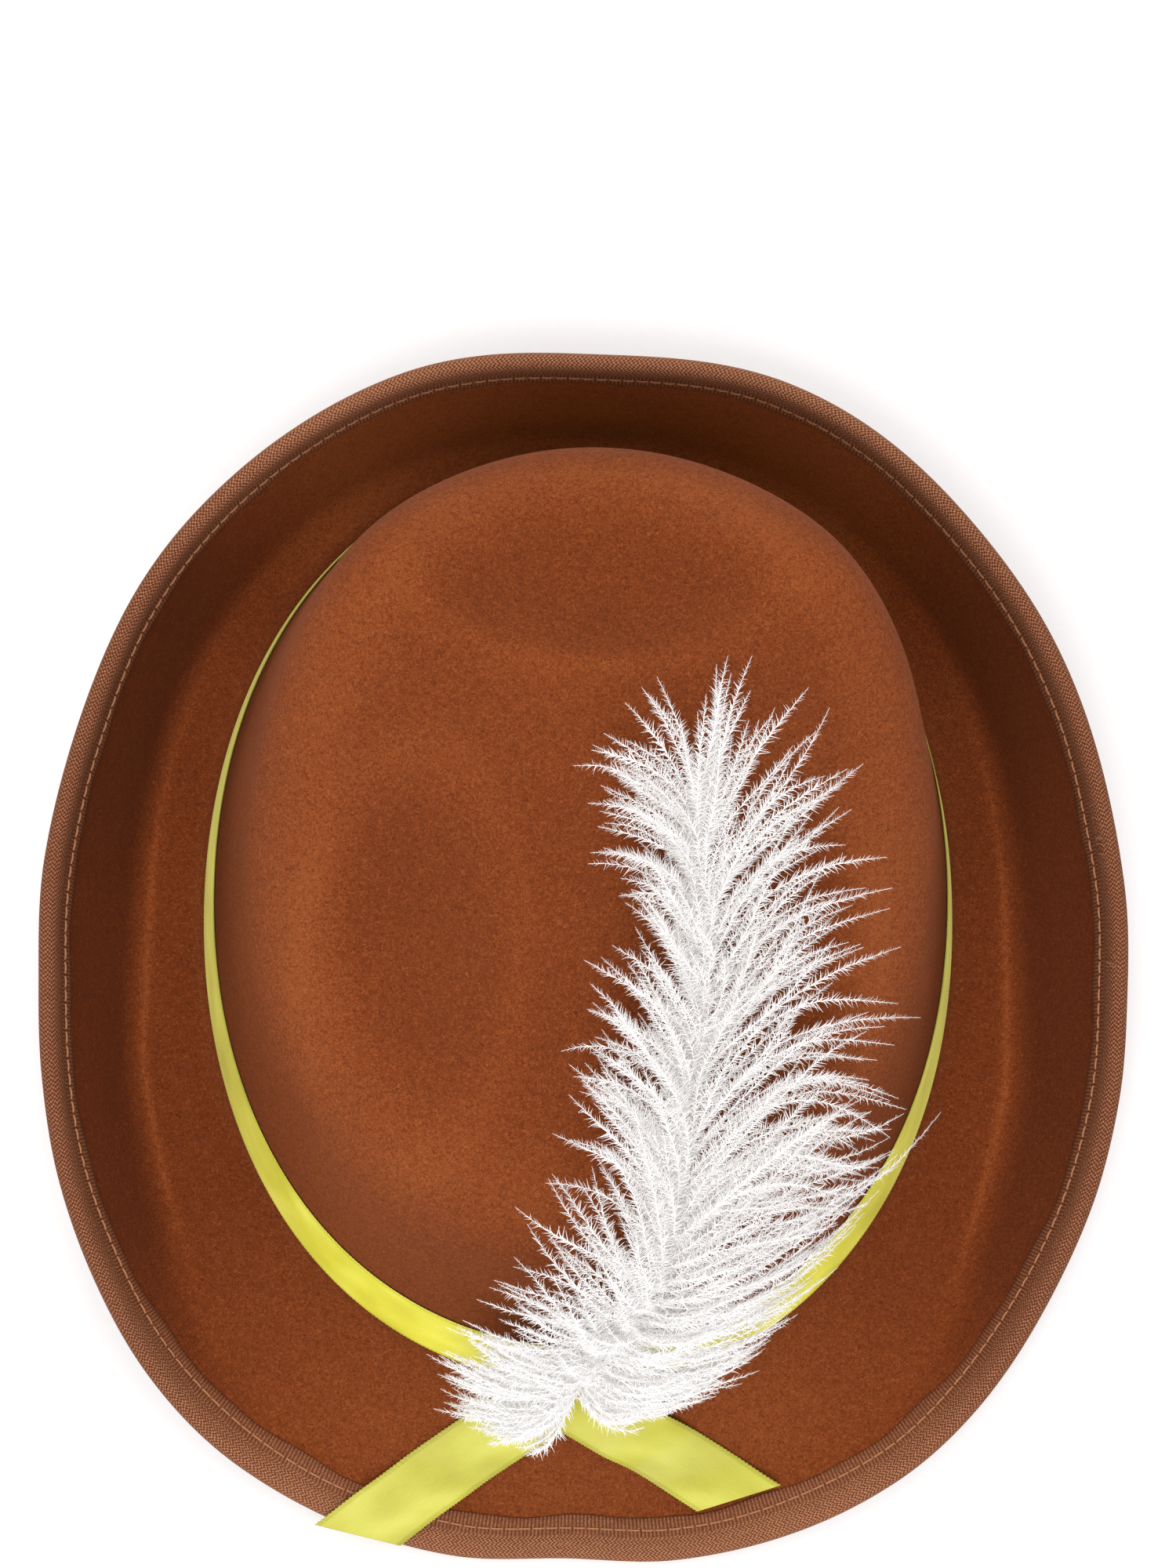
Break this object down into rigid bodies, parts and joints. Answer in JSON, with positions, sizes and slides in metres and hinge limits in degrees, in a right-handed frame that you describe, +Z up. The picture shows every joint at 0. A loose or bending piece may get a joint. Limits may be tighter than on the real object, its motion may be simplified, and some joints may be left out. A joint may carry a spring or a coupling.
{
  "type": "tyrolean hat",
  "caption": "Brown moulded felt tyrolean hat with a bound, turned-up brim, a yellow satin ribbon band whose ends cross in front, and a white ostrich plume.",
  "frame": {"origin": "middle of the hat's outline on the surface that it rests on", "axes": "+Z up, -Y towards the front of the hat, +X towards the wearer's left"},
  "size_m": [0.2424, 0.2718, 0.1438],
  "materials": {
    "felt": "matte",
    "binding": "matte",
    "ribbon": "satin",
    "plume": "matte"
  },
  "bodies": {
    "root": {"felt_body": "felt", "brim_binding": "binding", "hat_band": "ribbon", "ribbon_tail_left": "ribbon", "ribbon_tail_right": "ribbon", "feather": "plume"}
  },
  "joints": []
}
